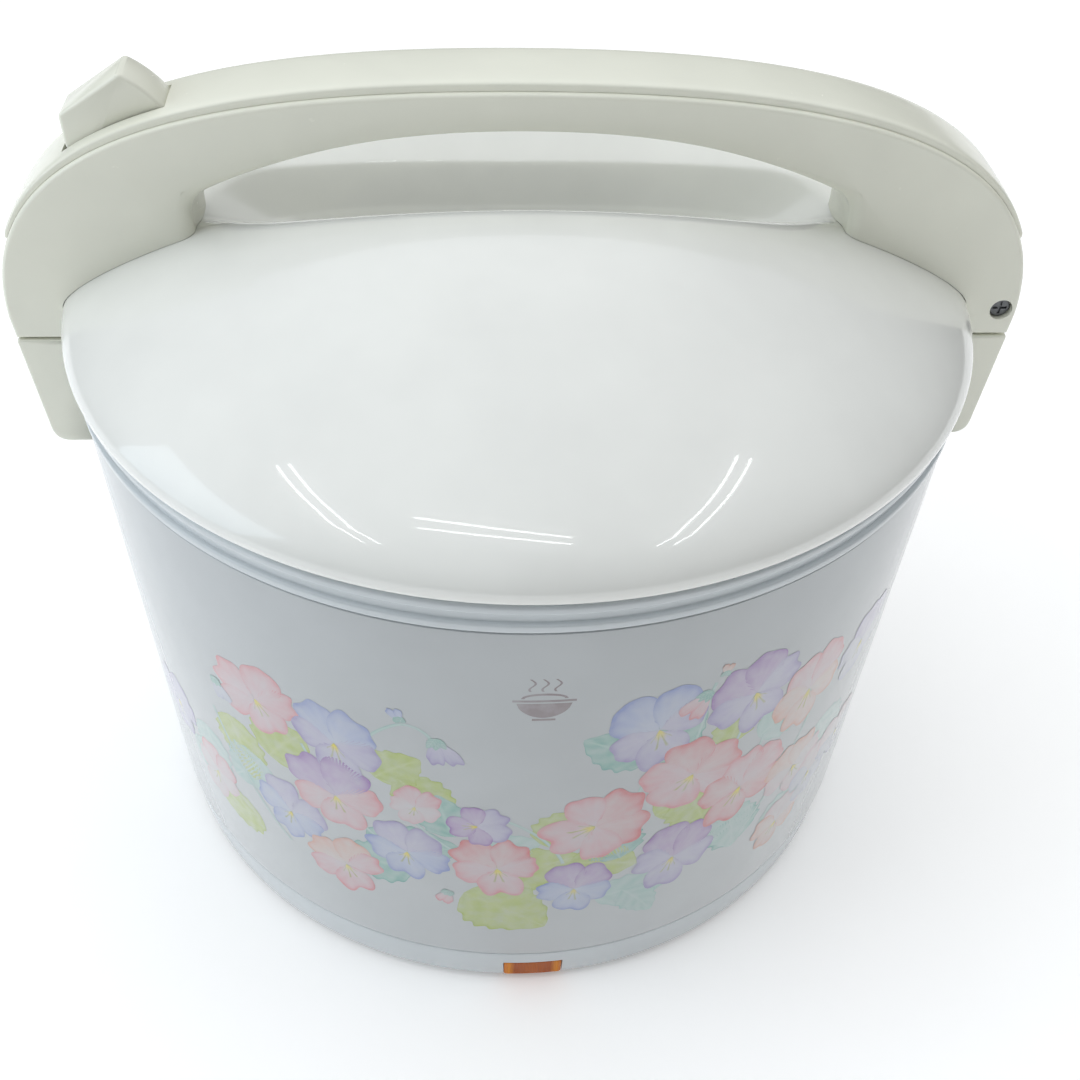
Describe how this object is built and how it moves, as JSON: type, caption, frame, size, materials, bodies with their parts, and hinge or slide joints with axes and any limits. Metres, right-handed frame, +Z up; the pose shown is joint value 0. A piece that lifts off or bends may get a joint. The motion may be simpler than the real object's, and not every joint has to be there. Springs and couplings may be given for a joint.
{
  "type": "rice cooker",
  "caption": "Round jar-type electric rice cooker with a hinged domed lid, fixed arch handle with push-button latch, lift-out pot, pilot lamp and flower-print shell.",
  "frame": {"origin": "on the floor, at the centre of the bounding box, within 1 mm of the axis of the round body", "axes": "+Z up along the body's axis, +X towards the lid hinge, -X towards the latch and its button, -Y towards the front with the pilot lamp"},
  "size_m": [0.3186, 0.2846, 0.2757],
  "materials": {
    "lid_plastic": "gloss off-white ABS",
    "handle_plastic": "gloss cream ABS",
    "rim_plastic": "semi-gloss cool white ABS",
    "shell_enamel": "gloss white film with a printed flower garland",
    "rubber_black": "matt",
    "seal_silicone": "matt translucent white",
    "plated_steel": "zinc plated",
    "dark_steel": "dull",
    "spun_aluminium": "spun",
    "pot_aluminium": "anodised",
    "glass_wool": "loose glass fibre",
    "lamp_orange": "translucent orange",
    "brass": "plain",
    "bakelite": "moulded phenolic"
  },
  "bodies": {
    "cooker_body": {"base_tray": "rim_plastic", "bottom_cover": "dark_steel", "foot_1": "rubber_black", "foot_2": "rubber_black", "foot_3": "rubber_black", "foot_4": "rubber_black", "bottom_screw_1": "plated_steel", "bottom_screw_2": "plated_steel", "bottom_screw_3": "plated_steel", "lamp_lens": "lamp_orange", "neon_lamp": "lamp_orange", "lamp_holder": "bakelite", "power_inlet": "bakelite", "inlet_pin_1": "brass", "inlet_pin_2": "brass", "outer_shell": "shell_enamel", "rim_frame": "rim_plastic", "inner_housing": "spun_aluminium", "insulation_blanket": "glass_wool", "band_heater": "dark_steel", "heat_shield": "spun_aluminium", "heater_support_ring": "dark_steel", "heater_plate": "spun_aluminium", "heater_element": "dark_steel", "sensor_spring": "plated_steel", "thermostat_body": "bakelite", "thermal_fuse": "brass", "terminal_block": "bakelite", "inner_pot": "pot_aluminium", "hinge_bracket": "handle_plastic", "latch_bracket": "handle_plastic", "catch_plate": "plated_steel", "hinge_bracket_screw_1": "plated_steel", "hinge_bracket_screw_2": "plated_steel", "latch_bracket_screw_1": "plated_steel", "latch_bracket_screw_2": "plated_steel", "hinge_pin": "plated_steel"},
    "lid": {"lid_cover": "lid_plastic", "lid_underframe": "rim_plastic", "lid_gasket": "seal_silicone", "inner_lid_plate": "spun_aluminium", "inner_lid_knob": "bakelite", "lid_heater": "dark_steel", "lid_insulation": "glass_wool", "steam_tube": "seal_silicone", "handle_frame": "handle_plastic", "handle_cap": "handle_plastic", "handle_screw_1": "plated_steel", "handle_screw_2": "plated_steel", "button_pin": "plated_steel", "latch_pivot_pin": "plated_steel", "latch_spring": "plated_steel"},
    "sensor": {"sensor_cap": "spun_aluminium"},
    "button": {"release_button": "handle_plastic"},
    "latch": {"latch_lever": "dark_steel"},
    "vent_cap": {"steam_vent_cap": "lid_plastic"}
  },
  "joints": [
    {"name": "lid_hinge", "type": "hinge", "parent": "cooker_body", "child": "lid", "pos_m": [0.1537, 0, 0.2013], "axis": [0, 1, 0], "range_deg": [0, 95]},
    {"name": "sensor_plunge", "type": "slide", "parent": "cooker_body", "child": "sensor", "axis": [0, 0, -1], "range_m": [0, 0.003], "stiffness_N_per_m": 300, "springref_m": -0.004, "deforming": ["sensor_spring"]},
    {"name": "button_press", "type": "hinge", "parent": "lid", "child": "button", "pos_m": [-0.1275, 0, 0.2475], "axis": [0, 1, 0], "range_deg": [0, 8], "stiffness_Nm_per_rad": 0.5, "springref_deg": -8.59},
    {"name": "latch_swing", "type": "hinge", "parent": "lid", "child": "latch", "pos_m": [-0.1496, 0, 0.223], "axis": [0, 1, 0], "range_deg": [0, 5.2], "deforming": ["latch_spring"]},
    {"name": "vent_cap_lift", "type": "slide", "parent": "lid", "child": "vent_cap", "axis": [0, 0, 1], "range_m": [0, 0.02]}
  ],
  "couplings": [
    {"joint": "latch_swing", "follows": "button_press", "ratio": 0.625}
  ]
}
